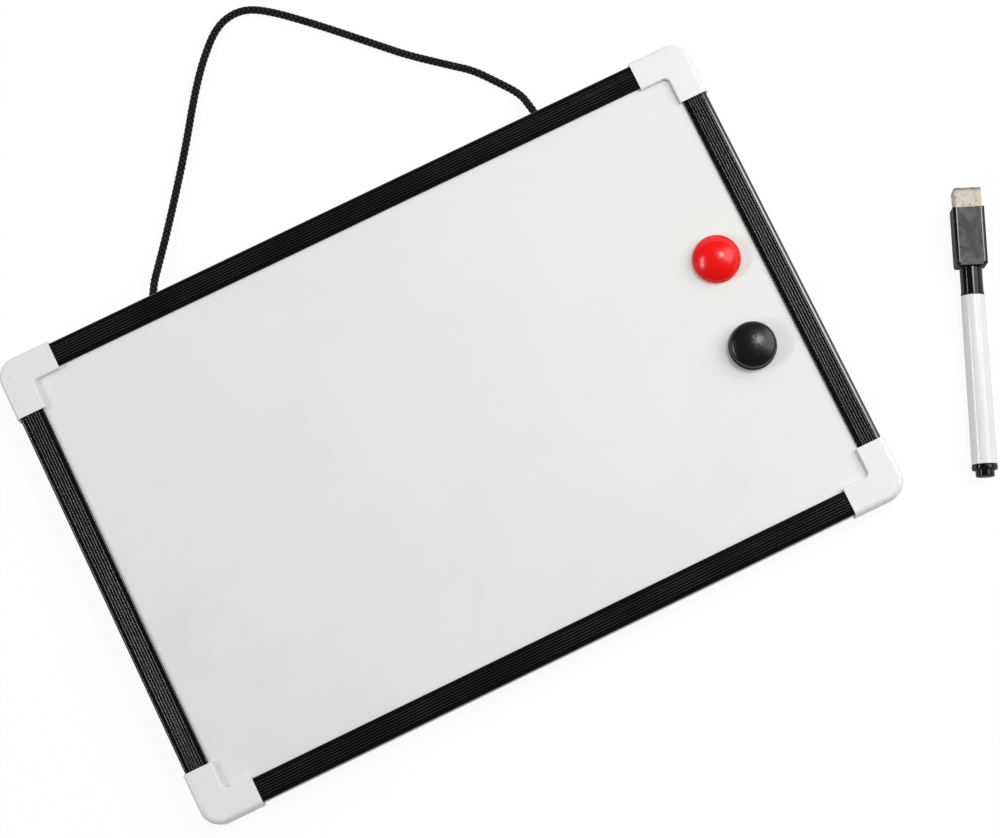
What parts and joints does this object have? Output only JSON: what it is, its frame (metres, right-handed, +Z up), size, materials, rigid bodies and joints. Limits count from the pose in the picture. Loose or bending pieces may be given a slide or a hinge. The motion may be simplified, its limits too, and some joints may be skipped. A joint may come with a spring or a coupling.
{
  "type": "hanging magnetic whiteboard",
  "caption": "Framed magnetic dry-wipe board with a knotted hanging cord, button magnets that slide on its face and a capped mini marker lying beside it.",
  "frame": {"origin": "centre of the writing face", "axes": "+X along the board's long side, +Y towards the rail that carries the cord, +Z up out of the writing face"},
  "size_m": [0.3786, 0.3001, 0.0156],
  "materials": {
    "white_enamel": "gloss",
    "fibreboard": "raw",
    "back_liner": "satin",
    "black_rail": "satin",
    "white_corner": "gloss",
    "black_cord": "braided",
    "red_button": "gloss",
    "black_button": "satin",
    "ferrite": "matt",
    "white_barrel": "gloss",
    "black_marker": "gloss",
    "ink_fibre": "fibrous",
    "nib_fibre": "fibrous",
    "magnet_strip": "matt",
    "felt": "felted"
  },
  "bodies": {
    "board": {"writing_sheet": "white_enamel", "core_board": "fibreboard", "back_sheet": "back_liner", "top_rail": "black_rail", "bottom_rail": "black_rail", "left_rail": "black_rail", "right_rail": "black_rail", "corner_top_left": "white_corner", "corner_top_right": "white_corner", "corner_bottom_left": "white_corner", "corner_bottom_right": "white_corner", "hanging_cord": "black_cord", "cord_knots": "black_cord"},
    "red_magnet": {"red_magnet_cap": "red_button", "red_magnet_disc": "ferrite"},
    "black_magnet": {"black_magnet_cap": "black_button", "black_magnet_disc": "ferrite"},
    "marker": {"marker_barrel": "white_barrel", "marker_tail_plug": "black_marker", "marker_ink_core": "ink_fibre", "marker_nib_holder": "black_marker", "marker_nib": "nib_fibre"},
    "marker_cap_unit": {"marker_cap": "black_marker", "marker_cap_magnet": "magnet_strip", "marker_eraser": "felt"}
  },
  "joints": [
    {"name": "red_magnet_slide", "type": "slide", "parent": "board", "child": "red_magnet", "axis": [1, 0, 0], "range_m": [-0.2516, 0.0054]},
    {"name": "black_magnet_slide", "type": "slide", "parent": "board", "child": "black_magnet", "axis": [1, 0, 0], "range_m": [-0.2489, 0.0081]},
    {"name": "marker_lift", "type": "slide", "parent": "board", "child": "marker", "axis": [0, 0, 1], "range_m": [0, 0.08]},
    {"name": "marker_cap_pull", "type": "slide", "parent": "marker", "child": "marker_cap_unit", "axis": [0.3923, 0.9198, 0], "range_m": [0, 0.03]}
  ]
}
